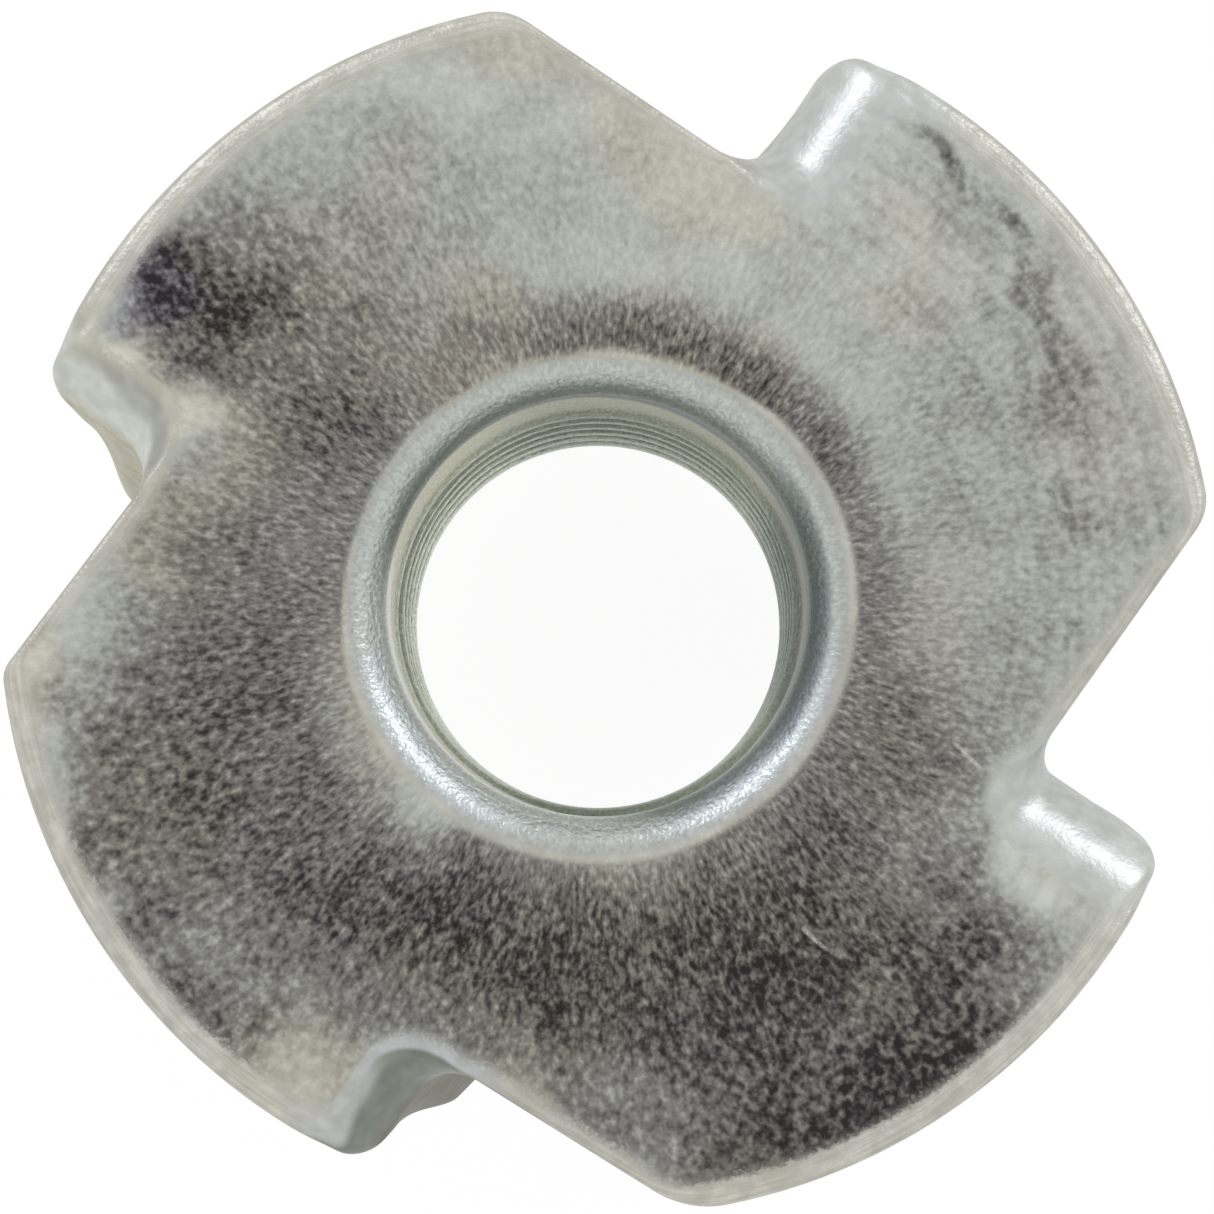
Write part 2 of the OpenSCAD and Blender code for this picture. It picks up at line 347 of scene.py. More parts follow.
def hanging_keys(q):
    """Keys of the hanging section: outer wall, ledge under the web, prong, its end, and up its back."""
    nut, notch, sheet, depth, root = q.nut, q.notch, q.sheet, q.depth, q.root
    rise = depth - sheet
    end_r = np.minimum(nut["break"], MOST_ROUNDED * (depth - q.drop))
    low = depth - end_r
    deep_web = sheet + nut["web_slope"] * notch["root"]
    ledge = q.drop + np.minimum(deep_web - q.drop, MOST_LEDGE * (low - q.drop))
    ledge = np.where(root, q.bottom_o, ledge)
    ledge_end = ledge + np.minimum(LEDGE, MOST_LEDGE * (low - ledge))
    below_web = sheet + nut["web_slope"] * (notch["root"] + q.taken_in) + CLEAR_OF_WEB
    ledge_end = np.where(root, np.maximum(ledge_end, below_web), ledge_end)
    on_root = root[:, None]
    front = np.where(on_root, np.stack([q.x, np.full(len(q.x), notch["face"])], -1), q.outer)
    rear = np.where(on_root, np.stack([q.x, np.full(len(q.x), notch["face"] - sheet)], -1), q.back)
    whole_lean = (np.tan(q.lean) * np.where(root, 1.0, q.leaning))[:, None]
    front_low = leaned(q, front, low, OUT, whole_lean)
    rear_low = leaned(q, rear, low, OUT, whole_lean)
    across = rear_low - front_low
    thick = np.linalg.norm(across, axis=1)
    across = across / thick[:, None]
    inward = across * q.taken_in[:, None]
    front_low = front_low + inward
    rear_low = rear_low - inward
    round_x = across * np.minimum(end_r, MOST_THICKNESS * (thick - 2.0 * q.taken_in))[:, None]
    back_low = depth - np.minimum(end_r, 0.5 * rise)
    up = np.minimum(nut["fold_inner"], MOST_FILLET * (back_low - sheet))
    back_ledge = sheet + up + np.minimum(BACK_LEDGE, 0.5 * (back_low - sheet - up))
    back_ledge = np.where(root, q.bottom_i, back_ledge)
    rear_top = sheet + nut["web_slope"] * (notch["root"] + sheet) + CLEAR_OF_WEB
    rear_top = np.where(root, rear_top, back_ledge)
    rear_top = np.maximum(rear_top, back_ledge + LEAST_TOP * (back_low - back_ledge))
    spread = flatness(rise)[:, None] * (q.under - q.back)
    at_end, at_top, at_ledge, at_fillet = [share * spread for share in HANGING_SPREAD]
    return [
        (web_leaned(q, q.outer, ledge), ledge),
        (leaned(q, front, ledge_end, OUT, whole_lean) + inward, ledge_end),
        (front_low, low),
        (front_low + round_x, depth),
        (rear_low - round_x, depth),
        (rear_low + at_end, back_low),
        (leaned(q, rear, rear_top, OUT, whole_lean) - inward + at_top, rear_top),
        (web_leaned(q, q.back, back_ledge) + at_ledge, back_ledge),
        (web_leaned(q, q.back, sheet + up) + at_fillet, sheet + up),
    ]


def web_leaned(q, plan, deep):
    """Plan points of the wall or the web moved out by their share of the lean, off the root's own curve."""
    direction = np.where(q.root[:, None], -q.into_root, OUT)
    return leaned(q, plan, deep, direction, (np.tan(q.lean) * q.leaning)[:, None])


def web_keys(q):
    """Keys of the web's section: outer wall, rounded edge, sloped bottom, rounded edge, inner wall.

    The second value has, for each of the first four keys, how far a column has come when it gets there, and
    what places a point of the wall by the way it has come.
    """
    inner_rise = q.bottom_i - q.sheet
    web_r = np.minimum(q.nut["break"], MOST_ROUNDED * (q.bottom_o - q.drop))
    inner_r = np.minimum(q.nut["break"], 0.5 * inner_rise)
    web_up = np.minimum(q.nut["fold_inner"], MOST_FILLET * (q.bottom_i - inner_r - q.sheet))
    web_out = web_leaned(q, q.outer, q.bottom_o)
    web_back = web_leaned(q, q.back, q.bottom_i)
    span = (web_back - web_out) / np.linalg.norm(web_back - web_out, axis=1)[:, None]
    spread = flatness(inner_rise)[:, None] * (q.under - q.back)
    at_end, at_fillet = [share * spread for share in WEB_SPREAD]
    start = web_out + span * web_r[:, None]
    stop = web_back - span * inner_r[:, None]
    fall = q.bottom_i - q.bottom_o
    keys = [(web_out, q.bottom_o - web_r), (start, q.bottom_o)]
    keys += [(start + (stop - start) * f, q.bottom_o + fall * f) for f in BOTTOM_SHARES]
    keys += [
        (stop, q.bottom_i),
        (web_back + at_end, q.bottom_i - inner_r),
        (web_leaned(q, q.back, q.sheet + web_up) + at_fillet, q.sheet + web_up),
    ]
    wall, bend = q.bottom_o - web_r - q.drop, 1.5 * web_r
    bottom = np.linalg.norm(stop - start, axis=1)
    passed = (wall, wall + bend) + tuple(wall + bend + f * bottom for f in BOTTOM_SHARES[:2])
    return keys, SimpleNamespace(passed=passed, wall=wall, bend=bend, radius=web_r, span=span)


def closing_keys(q, web):
    """Keys of the column that closes the prong's side: each is drawn up onto the web's bottom."""
    side_x = np.full(len(q.x), q.notch["reach"] - SIDE_CLEARANCE)
    closed = [web[0]]
    for f in SIDE_SHARES:
        y = q.notch["face"] - q.sheet * f
        level = q.sheet + q.nut["web_slope"] * (q.centre[1] - y)
        out = y + np.tan(q.lean) * (level - q.roll_end)
        closed.append((np.stack([side_x, out], -1), np.full(len(q.x), level)))
    return closed + web[-2:]


def quarter_keys(nut, k, outer):
    """Key points of the section at every column of one quarter, from the roll's end round to the underside.

    Returns the columns, the keys as (plan, depth) pairs with depth measured down from the driving face, the
    web's share in their spacing, and where the prong's side closes. From the tip along the rim the web's
    spacing turns into the hanging one: keys run down the wall, round the broken edge and along the bottom.
    """
    q = quarter_columns(nut, k, outer)
    hang = hanging_keys(q)
    web, way = web_keys(q)
    closing = q.root & (np.abs(q.share - SIDE_CLOSED) < 1e-6)
    turning_from, turning_over = WEB_TO_HANGING
    webbed = np.select([q.rim, q.hanging], [1.0 - smooth((q.share - turning_from) / turning_over), 0.0], 1.0)
    turning = q.rim & (webbed > 0.0)
    keys = []
    for j, (h, w, c) in enumerate(zip(hang, web, closing_keys(q, web))):
        f = webbed[:, None]
        plan = h[0] * (1.0 - f) + w[0] * f
        deep = h[1] * (1.0 - webbed) + w[1] * webbed
        if j < len(way.passed):
            hung = way.wall + way.bend if j == len(way.passed) - 1 else h[1] - q.drop
            run = hung * (1.0 - webbed) + way.passed[j] * webbed
            round_share = np.clip((run - way.wall) / way.bend, 0.0, 1.0)
            inward = way.radius * round_share + np.maximum(run - way.wall - way.bend, 0.0)
            plan = np.where(turning[:, None], outer + way.span * inward[:, None], plan)
            deep = np.where(turning, q.drop + np.minimum(run, way.wall) + way.radius * round_share, deep)
        keys.append((np.where(closing[:, None], c[0], plan), np.where(closing, c[1], deep)))
    keys.append((q.under, np.full(len(q.x), q.sheet)))
    return q, keys, webbed, closing


# Rows between one key point of the section and the next, and whether they turn a rounded corner there.
SECTION_ROWS = ((3, "line"), (3, "web"), (5, "line"), (3, "round"), (3, "line"), (3, "round"), (5, "line"),
                (3, "web_back"), (3, "line"), (4, "inside"))
ROLL_ROWS = 14
# A creased roll: the share of its width at which it has turned down, and how much of it is straight.
CREASE_FROM = 0.3
CREASE_FLAT = 0.6


def quarter_rows(nut, k, outer, inner):
    """Rows of one quarter from the roll's start to the underside, as (rows, columns, 3) with depth as -z.

    Roll: plan = inner + (outer - inner) sin t / sin end, depth = drop (1 - cos t) / (1 - cos end), and along
    the rim the flatter depth = drop (1 - (1 - f^n)^(1/n)) with f the plan's share and n the rim's squareness.
    Rounded corner from A by X to B: P = O + (A - O) cos t + (B - O) sin t with O = A + B - X.
    """
    q, keys, webbed, closing = quarter_keys(nut, k, outer)
    end = 0.5 * math.pi - q.lean * q.leaning
    squared = np.select([q.rim, q.tip], [1.0 - q.near, smooth(2.0 * q.share)], 0.0)
    creased = q.notch["crease"] * q.leaning
    n = nut["squareness"]
    rows = []
    for t in np.linspace(0.0, 1.0, ROLL_ROWS):
        f = np.sin(t * end) / np.sin(end)
        bent = (1.0 - np.cos(t * end)) / (1.0 - np.cos(end))
        square = 1.0 - (1.0 - np.minimum(f, 1.0) ** n) ** (1.0 / n)
        straighter = smooth(f / CREASE_FROM) * f * (CREASE_FLAT + (1.0 - CREASE_FLAT) * f ** 3)
        deep = q.drop * (bent + (square - bent) * squared + (straighter - bent) * creased)
        rows.append(np.column_stack([inner + (outer - inner) * f[:, None], -deep]))
    points = [rows[-1]] + [np.column_stack([plan, -deep]) for plan, deep in keys]
    on_web = (webbed > 0.5)[:, None]
    closed = closing[:, None]
    for (count, kind), a, b in zip(SECTION_ROWS, points[:-1], points[1:]):
        rows += between(count, a, b, section_corner(kind, a, b, on_web, closed))
    return np.array(rows)


def section_corner(kind, a, b, on_web, closed):
    """Corner that the section turns between key points a and b, or their middle where it runs straight."""
    below_a = np.column_stack([a[:, :2], b[:, 2]])
    below_b = np.column_stack([b[:, :2], a[:, 2]])
    middle = 0.5 * (a + b)
    if kind == "inside":
        return below_a
    if kind == "round":
        return np.where(on_web | closed, middle, np.where((b[:, 2] <= a[:, 2])[:, None], below_a, below_b))
    if kind == "web":
        return np.where(on_web & ~closed, below_a, middle)
    if kind == "web_back":
        return np.where(on_web, below_b, middle)
    return None


def between(count, a, b, corner):
    """Rows after a up to b: on a straight line, or from A by X to B as in quarter_rows."""
    if corner is None:
        return [a * (1.0 - j / count) + b * (j / count) for j in range(1, count + 1)]
    centre = a + b - corner
    turns = [0.5 * math.pi * j / count for j in range(1, count + 1)]
    return [centre + (a - centre) * math.cos(t) + (b - centre) * math.sin(t) for t in turns]


def flange_rows(nut):
    """All rows of the flange round the nut: the four quarters turned to their places and joined."""
    plain = {"rim": 0.0, "fold": 0.0, "edge": 0.0, "corner": 1.0, "tip": 1.0}
    flat_end = {"rim": nut["rim_round"], "fold": 1.0, "edge": nut["edge_round"], "corner": 0.5, "tip": 0.7}
    quarters = []
    for k, (outer, inner) in enumerate(zip(outline(nut, plain), outline(nut, flat_end))):
        rows = quarter_rows(nut, k, outer, inner)
        plan = turned(rows[..., :2], notch_bearing(k))
        quarters.append(np.concatenate([plan, rows[..., 2:] + nut["height"]], -1))
    return np.concatenate(quarters, 1)


# Angle of the thread's flanks, pitches in half its root's flat, and length of the cone above it in mm.
FLANK = 30.0
ROOT_FLAT = 16.0
THROAT_CONE = 0.5
# Height of the lowest row of the thread, and of the first row above it.
FIRST_ROW = 0.05
ABOVE_THREAD = 0.15


def thread_radius(nut, angle, z):
    """Radius of the bore at an angle and height.

    The groove's centre climbs one pitch a turn: dz = z - pitch (angle / 2 pi + n). Its radius is
    root - (|dz| - flat / 2) / tan 30, and the root runs out towards the throat. Where the groove meets the
    bore's own wall the two are blended: (groove + wall + sqrt((groove - wall)^2 + soft^2)) / 2.
    """
    pitch = nut["pitch"]
    phase = z / pitch - angle / (2.0 * math.pi)
    dz = np.abs(phase - np.round(phase)) * pitch
    root = nut["thread_root"] - np.maximum(z - nut["run_out"], 0.0) * nut["run_out_slope"]
    groove = root - np.maximum(dz - pitch / ROOT_FLAT, 0.0) / math.tan(math.radians(FLANK))
    wall = np.interp(z, [nut["throat_z"] - THROAT_CONE, nut["throat_z"]], [nut["minor"], nut["throat"]])
    return 0.5 * (groove + wall + np.sqrt((groove - wall) ** 2 + nut["soft"] ** 2))


def bore_rows(nut, angle):
    """Rows from the underside's inner circle down the barrel, up the bore and over the lip.

    Every row is r (cos a, sin a) at its height; on the thread r depends on the angle as well.
    """
    top, under = nut["height"], nut["height"] - nut["sheet"]
    quarter = np.linspace(0.0, 0.5 * math.pi, NECK_ROWS)
    neck = [
        (nut["barrel"] + nut["neck"] * (1.0 - math.sin(t)), under - nut["neck"] * (1.0 - math.cos(t)))
        for t in quarter
    ]
    wall = [(nut["barrel"], z) for z in np.linspace(under - nut["neck"], nut["end_bevel"], WALL_ROWS)[1:]]
    end = [(nut["barrel"] - nut["end_bevel"] * f, nut["end_bevel"] * (1.0 - f)) for f in (0.5, 1.0)]
    mouth = nut["minor"] + nut["lead_in"]
    end += [(mouth + (nut["barrel"] - nut["end_bevel"] - mouth) * f, 0.0) for f in (0.5, 0.0)]
    rings = [np.full_like(angle, r) for r, _ in neck + wall + end]
    heights = [np.full_like(angle, z) for _, z in neck + wall + end]
    for z in np.arange(nut["thread_rows"]) / nut["thread_rows"] * nut["throat_z"] + FIRST_ROW:
        level = np.full_like(angle, z)
        cone = nut["minor"] + nut["lead_in"] - z
        rings.append(np.maximum(thread_radius(nut, angle, level), cone))
        heights.append(level)
    for z in np.linspace(nut["throat_z"] + ABOVE_THREAD, top - nut["lip"], THROAT_ROWS):
        rings.append(np.full_like(angle, nut["throat"]))
        heights.append(np.full_like(angle, z))
    for t in np.linspace(0.0, 0.5 * math.pi, LIP_ROWS)[1:]:
        rings.append(np.full_like(angle, nut["throat"] + nut["lip"] * (1.0 - math.cos(t))))
        heights.append(np.full_like(angle, top - nut["lip"] * (1.0 - math.sin(t))))
    r, z = np.array(rings), np.array(heights)
    return np.stack([r * np.cos(angle), r * np.sin(angle), z], -1)


def rows_across(start, end, count):
    """Rows evenly spaced between two others, which are left out of the count's ends."""
    return np.array([start * (1.0 - f) + end * f for f in np.linspace(0.0, 1.0, count)[1:-1]])


def shell_grid(nut):
    """The whole shell as one grid, closed both ways: flange, underside, barrel, bore, lip and flat top.

    The second grid says how far a point is from the rolls: start + growth distance on the flat and the
    underside, and start - growth distance in plan on the flange's rows. Less growth gives a wider band.
    """
    flange = flange_rows(nut)
    ends = np.cumsum([0] + [count for _, count in STRETCHES])
    quarter = np.interp(np.arange(ends[-1]), ends, BORE_BEARINGS)
    angle = np.radians((quarter + 90.0 * np.arange(len(NOTCHES))[:, None]).ravel())
    bore = bore_rows(nut, angle)
    under = rows_across(flange[-1], bore[0], UNDER_ROWS)
    flat = rows_across(bore[-1], flange[0], FLAT_ROWS)
    far = np.full((len(bore), flange.shape[1]), FAR_FROM_EDGE)
    at_columns = [np.interp(np.arange(ends[-1]), ends, at_ends) for at_ends in BAND_ENDS]
    growth, start = [np.tile(values, len(NOTCHES)) for values in at_columns]
    on_flat = start + growth * np.linalg.norm(flat - flange[0], axis=-1)
    on_rolls = start - growth * np.linalg.norm((flange - flange[0])[..., :2], axis=-1)
    on_underside = start + growth * np.linalg.norm(under - flange[-1], axis=-1)
    from_edge = np.concatenate([on_rolls, on_underside, far, on_flat])
    return np.concatenate([flange, under, bore, flat]), from_edge


def grid_mesh(name, grid, from_edge):
    """Mesh of four-sided faces on a grid (rows, columns, 3) in mm that closes on itself both ways."""
    rows, columns = grid.shape[:2]
    index = np.arange(rows * columns).reshape(rows, columns)
    right = np.roll(index, -1, 1)
    below = np.roll(index, -1, 0)
    quads = np.stack([index, below, np.roll(right, -1, 0), right], -1).reshape(-1, 4)
    mesh = bpy.data.meshes.new(name)
    mesh.from_pydata((grid.reshape(-1, 3) * MM).tolist(), [], quads.tolist())
    mesh.attributes.new("from_edge", "FLOAT", "POINT").data.foreach_set("value", from_edge.ravel())
    mesh.shade_smooth()
    return mesh


def length(name, description, default):
    """Property that holds a length in metres."""
    return bpy.props.FloatProperty(name=name, description=description, default=default, unit="LENGTH")


class ShellSizes(bpy.types.PropertyGroup):
    """Sizes of the pressed and threaded shell."""

    flange_diameter: length("Flange diameter", "Across the flange", FLANGE_DIAMETER)
    height: length("Height", "Barrel end to driving face", HEIGHT)
    sheet: length("Sheet thickness", "Thickness of flange and prongs", 1.5 * MM)
    barrel_diameter: length("Barrel diameter", "Outside of the barrel", 12.0 * MM)
    minor_diameter: length("Minor diameter", "Crests of the thread", 8.5 * MM)
    major_diameter: length("Major diameter", "Roots of the thread", 10.0 * MM)
    pitch: length("Pitch", "Height of one turn of the thread", 1.5 * MM)
    throat_diameter: length("Throat diameter", "Plain bore above the thread", 8.9 * MM)
    throat_depth: length("Throat depth", "Driving face to the thread", 4.0 * MM)
    lip_radius: length("Lip radius", "Rounding from the face into the bore", 1.0 * MM)


class StageLook(bpy.types.PropertyGroup):
    """Background and lamps."""

    backdrop: bpy.props.FloatVectorProperty(
        name="Backdrop", description="Colour of the floor and world", default=(1.0, 1.0, 1.0), subtype="COLOR"
    )
    lamp_colour: bpy.props.FloatVectorProperty(
        name="Lamp colour", description="Colour of the soft boxes", default=(0.86, 0.87, 1.0), subtype="COLOR"
    )
    lamp_power: bpy.props.FloatProperty(
        name="Lamp power", description="Watts of each soft box", default=0.06, min=0.0
    )
    shadow: bpy.props.FloatProperty(
        name="Shadow", description="Share of white that the shadow takes", default=0.12, min=0.0, max=1.0
    )
    room_light: bpy.props.FloatProperty(
        name="Room light", description="Strength of the world's light", default=0.55, min=0.0
    )


# Small sizes in mm that follow from the stamping.
PRESSED = {
    # Rolls at the rim, the fold and the sheared edge, and how square the rim's is.
    "rim_round": 0.6,
    "roll": 1.8,
    "edge_round": 0.14,
    "squareness": 4.0,
    # Inside of the fold, and the least step between columns where the underside starts behind it.
    "fold_inner": 0.3,
    "queue_step": 0.02,
    # How far a prong's rim stands out, sheet used up by the fold, slope of the web, and broken edges.
    "rim_out": 0.16,
    "fold_used": 2.1027,
    "web_slope": 1.2,
    "break": 0.12,
    # Fillet under the flange, chamfer outside the barrel's end and lead-in at the thread's.
    "neck": 0.5,
    "end_bevel": 0.3,
    "lead_in": 0.8,
    # Height at which the thread's root starts to run out, how fast, its softness, and its rows.
    "run_out": 7.8,
    "run_out_slope": 0.6,
    "soft": 0.16,
    "thread_rows": 84,
}


def shell_sizes(sizes):
    """The shell's sizes in mm: those that a user sets, and the small ones that follow from the stamping."""
    return {
        "flange": 0.5 * sizes.flange_diameter / MM,
        "height": sizes.height / MM,
        "sheet": sizes.sheet / MM,
        "barrel": 0.5 * sizes.barrel_diameter / MM,
        "minor": 0.5 * sizes.minor_diameter / MM,
        "thread_root": 0.5 * sizes.major_diameter / MM,
        "pitch": sizes.pitch / MM,
        "throat": 0.5 * sizes.throat_diameter / MM,
        "throat_z": (sizes.height - sizes.throat_depth) / MM,
        "lip": sizes.lip_radius / MM,
        **PRESSED,
    }


class Nodes:
    """Short calls that add nodes to one cleared tree and wire them."""

    def __init__(self, tree):
        tree.nodes.clear()
        self.tree = tree

    def add(self, kind, **settings):
        """New node of a kind, with its settings."""
        node = self.tree.nodes.new(kind)
        for name, value in settings.items():
            setattr(node, name, value)
        return node

    def put(self, value, socket):
        """Link a socket into another, or set the other's value; a colour without its alpha is opaque."""
        if isinstance(value, bpy.types.NodeSocket):
            self.tree.links.new(value, socket)
        elif socket.type == "RGBA" and len(value) == 3:
            socket.default_value = (*value, 1.0)
        else:
            socket.default_value = value

    def fill(self, node, *values):
        """Values put in a node's first sockets; its first output."""
        for value, socket in zip(values, node.inputs):
            self.put(value, socket)
        return node.outputs[0]

    def show(self, kind, shader):
        """Output node of a kind for a shader."""
        self.put(shader, self.add(kind).inputs[0])

    def math(self, operation, *values):
        """Result of one operation on numbers."""
        return self.fill(self.add("ShaderNodeMath", operation=operation), *values)

    def total(self, first, *others):
        """Sum of all values."""
        for value in others:
            first = self.math("ADD", first, value)
        return first

    def product(self, first, *others):
        """All values multiplied together."""
        for value in others:
            first = self.math("MULTIPLY", first, value)
        return first

    def ramp(self, value, low, high, to_low=0.0, to_high=1.0):
        """Value carried smoothly from low..high to to_low..to_high, and held outside."""
        node = self.add("ShaderNodeMapRange", interpolation_type="SMOOTHSTEP")
        return self.fill(node, value, low, high, to_low, to_high)

    def mix(self, factor, a, b, blend="MIX"):
        """Colour a turned by a factor to b, or to a b where the blend is MULTIPLY."""
        node = self.add("ShaderNodeMix", data_type="RGBA", blend_type=blend)
        for value, socket in ((factor, 0), (a, 6), (b, 7)):
            self.put(value, node.inputs[socket])
        return node.outputs[2]

    def vector(self, operation, *values):
        """Result of one operation on vectors."""
        return self.fill(self.add("ShaderNodeVectorMath", operation=operation), *values)

    def distance(self, place, right, up, height=0.0):
        """Distance in mm between a place and one right and up of the bore, at a height."""
        node = self.add("ShaderNodeVectorMath", operation="DISTANCE")
        self.fill(node, place, (right, up, height))
        return node.outputs["Value"]

    def combined(self, *values):
        """Vector of up to three numbers."""
        return self.fill(self.add("ShaderNodeCombineXYZ"), *values)

    def parts(self, vector):
        """The three numbers of a vector."""
        node = self.add("ShaderNodeSeparateXYZ")
        self.put(vector, node.inputs[0])
        return node.outputs

    def noise(self, name, place, output="Fac"):
        """Noise of that name at a place."""
        node = self.add("ShaderNodeTexNoise", noise_dimensions="3D")
        self.put(place, node.inputs["Vector"])
        for value, socket in zip(NOISES[name], ("Scale", "Detail", "Roughness")):
            self.put(value, node.inputs[socket])
        return node.outputs[output]

    def colours(self, value, stops):
        """Colour at a value along a row of (place, colour) stops."""
        node = self.add("ShaderNodeValToRGB")
        elements = node.color_ramp.elements
        for element, (at, colour) in zip(elements, (stops[0], stops[-1])):
            element.position, element.color = at, (*colour, 1.0)
        for at, colour in stops[1:-1]:
            elements.new(at).color = (*colour, 1.0)
        return self.fill(node, value)


# Noises by name: scale, detail and roughness.
NOISES = {
    "streak": (1.0, 1.0, 0.5),
    "grain": (11.0, 2.0, 0.6),
    "cloud": (0.6, 1.0, 0.55),
    "hue": (0.33, 0.0, 0.5),
    "wander": (0.7, 0.0, 0.5),
    "rings": (1.0, 1.0, 0.6),
    "blotch": (0.9, 1.0, 0.6),
    "rubs": (1.0, 1.0, 0.6),
    "mottle": (2.2, 1.0, 0.6),
    "relief": (9.0, 1.0, 0.6),
}

# Masks by name: what they multiply, each a value of the surface and the smooth step it is carried through, if
# any. A step is the value at its start and end, and what it becomes there if not 0 and 1.
MASKS = {
    "cloudy": (("cloud", 0.35, 0.65, -0.04, 0.1),),
    # Painted shade on the face round the lip, heaviest on its top side, and painted light on the face below the
    # lip.
    "lip_top_painted_shade": (("r", 5.2, 5.45), ("r", 7.0, 5.7), ("y", -3.0, 4.5, 0.0, 0.58), ("x", -3.0, 1.0, 0.1, 1.15)),
    "lip_low_painted_light": (("r", 7.0, 5.5), ("y", 0.0, -3.0, 0.0, -0.2)),
    "outer_arc": (("arc", 10.7, 11.0), ("arc", 11.5, 11.15, 0.0, 0.4)),
    "inner_arc": (("arc", 9.9, 10.3), ("arc", 10.8, 10.5, 0.0, 0.16)),
    "lobe": (("blotchy", 0.3, 0.6, 0.25, 1.0), ("x", 6.0, 7.4), ("y", 2.5, 7.0, 0.4, 1.25)),
    "drawn": (("x", 3.0, 6.5), ("r", 7.0, 8.0, 0.0, 0.35)),
    "edge_band": (("ragged_edge", 0.2, -0.25), ("z", 11.2, 11.8)),
    "lip_band": (("ragged_lip", 5.45, 5.2),),
    "lip_left": (("up_left", 3.0, 7.0, -0.07, 0.1),),
    # The smooth bands keep little of the darkening, painted reflection included.
    "darkening_off_band": (("band", 0.0, 1.0, 1.0, 0.15),),
    "speckle_off_band": (("band", 0.0, 1.0, 1.0, 0.4),),
    "warm": (("hue", 0.4, 0.6), ("x", 5.0, 8.0, 1.0, 0.3)),
    "rubbed": (("rubs", 0.35, 0.65),),
    "mottled": (("mottle", 0.35, 0.65),),
    # Painted light on the rim's outer edge.
    "rim_painted_light": (("edge", -0.05, -0.35), ("r", 11.5, 12.2)),
    "banded": (("band",), ("grain", 0.35, 0.65, 0.9, 0.7)),
    # Masks of the painted light, shade and highlight in the bore, by side.
    "right_side": (("x", 3.3, 4.6),),
    "low_right": (("up_left", -5.4, -6.5, 0.0, 0.5),),
    "lip_painted_shade": (("shaded",), ("r", 5.0, 4.75)),
    "lip_painted_highlight": (("aside", 1.0, 3.0), ("y", -0.5, -2.5)),
    "low_left": (("up_right", -2.5, -5.0),),
    "lip_foot_painted_light": (("lit",), ("r", 4.75, 4.6)),
    "thread": (("z", 9.2, 8.6),),
    "throat_top_painted_light": (("lit",), ("z", 10.0, 11.0)),
    "throat_left_painted_light": (("x", -0.5, -3.5),),
    "throat_right_painted_shade": (("x", 3.4, 4.2),),
    "shade_foot": (("x", -3.0, 4.0, 11.9, 10.9),),
    "shade": (("above_foot", -0.3, 0.2),),
    "below_lip": (("z", 12.05, 11.8),),
    "streaked": (("streak", 0.35, 0.65),),
    "grained": (("grain", 0.35, 0.65, 0.0, 0.5),),
    "bore": (("lip",), ("r", 5.6, 5.5), ("r", 5.4, 5.1)),
    "prong": (("z", 12.0, 11.4),),
    "below_face": (("z", 12.99, 12.86),),
    "web_mottled": (("mottle", 0.3, 0.7),),
    "scratched": (("scratch",), ("z", 12.9, 12.99), ("grain", 0.3, 0.6, 0.9, 0.3)),
    "crest_rough": (("crest", 0.0, 1.0, 0.48, 0.38),),
    "lip_rough": (("r", 5.0, 4.7, 0.36, 0.52),),
    "into_lip": (("r", 5.5, 5.3),),
    "deep_rough": (("z", 11.5, 9.0, 0.0, 0.5),),
    "relief": (("crest", 0.0, 1.0, 0.5, 0.16),),
}
# Steps by distance in mm: from a fold's crest, from a pressed face, across a scratch and down round the bend.
CREST_NEAR = (2.7, 1.5)
PRESSED_NEAR = (3.2, 2.2)
SCRATCH_ACROSS = (0.06, 0.02)
BENT = (-0.06, 0.2)
# How often the streaks change round the bore and out, and the rings out and up; the rings' share in blotches.
STREAKS_ROUND, STREAKS_OUT = 60.0, 4.6
RINGS_OUT, RINGS_UP, RINGS_SHARE = 4.0, 1.5, 0.25
NEAREST_AXIS = 0.01
# How far noise moves the patches' edges, either way.
WANDER = 0.8
# Middle of the arcs on the right lobe: right and up.
ARC_MIDDLE = (-0.85, 1.7)
FACE = HEIGHT / MM

# Painted dark reflection as soft round patches, heaviest towards the bottom: place right and up of the bore in
# the camera's bearing, radius and strength.
PAINTED_REFLECTION_PATCHES = (
    (6.2, -12.0, 7.5, 1.3),
    (0.0, -7.8, 5.0, 0.97),
    (-4.4, -6.2, 4.5, 0.9),
    (-12.0, -7.4, 7.5, 0.87),
    (3.8, -6.9, 3.3, 0.36),
    (-7.7, -1.6, 5.6, 0.78),
    (-5.2, 4.7, 7.0, 0.52),
    (-8.5, 6.5, 2.8, 0.85),
    (4.9, -3.7, 6.0, 0.77),
    (7.8, -7.4, 3.0, 0.38),
    (8.2, 2.8, 7.0, 0.2),
    (-11.0, -0.5, 3.0, -0.3),
    (-5.7, 3.5, 2.4, 0.27),
    (-4.1, -4.1, 2.4, -0.25),
    (-9.7, 4.5, 2.1, -1.05),
    (-7.4, -5.1, 2.5, 0.14),
    (5.8, 3.2, 2.0, -0.15),
    (-12.0, -3.7, 2.1, -0.6),
    (-7.9, -0.6, 2.0, -0.15),
    (-8.4, -8.4, 1.3, 0.35),
    (-7.5, -9.2, 1.3, 0.5),
    (-9.5, 6.4, 0.9, 0.3),
    (8.9, -5.9, 1.5, -0.5),
    (8.5, -4.3, 1.3, -0.4),
    (-9.3, 2.4, 1.0, -0.3),
    (-10.7, -6.2, 1.1, -0.6),
)
MOST_DARKENING = 1.1
# Speckle's offset and the weights of streak and grain in it, and its amount on clean and on darkened plate.
SPECKLE = (1.35, 2.0, 0.7)
SPECKLE_AMOUNT = (0.22, 0.8)
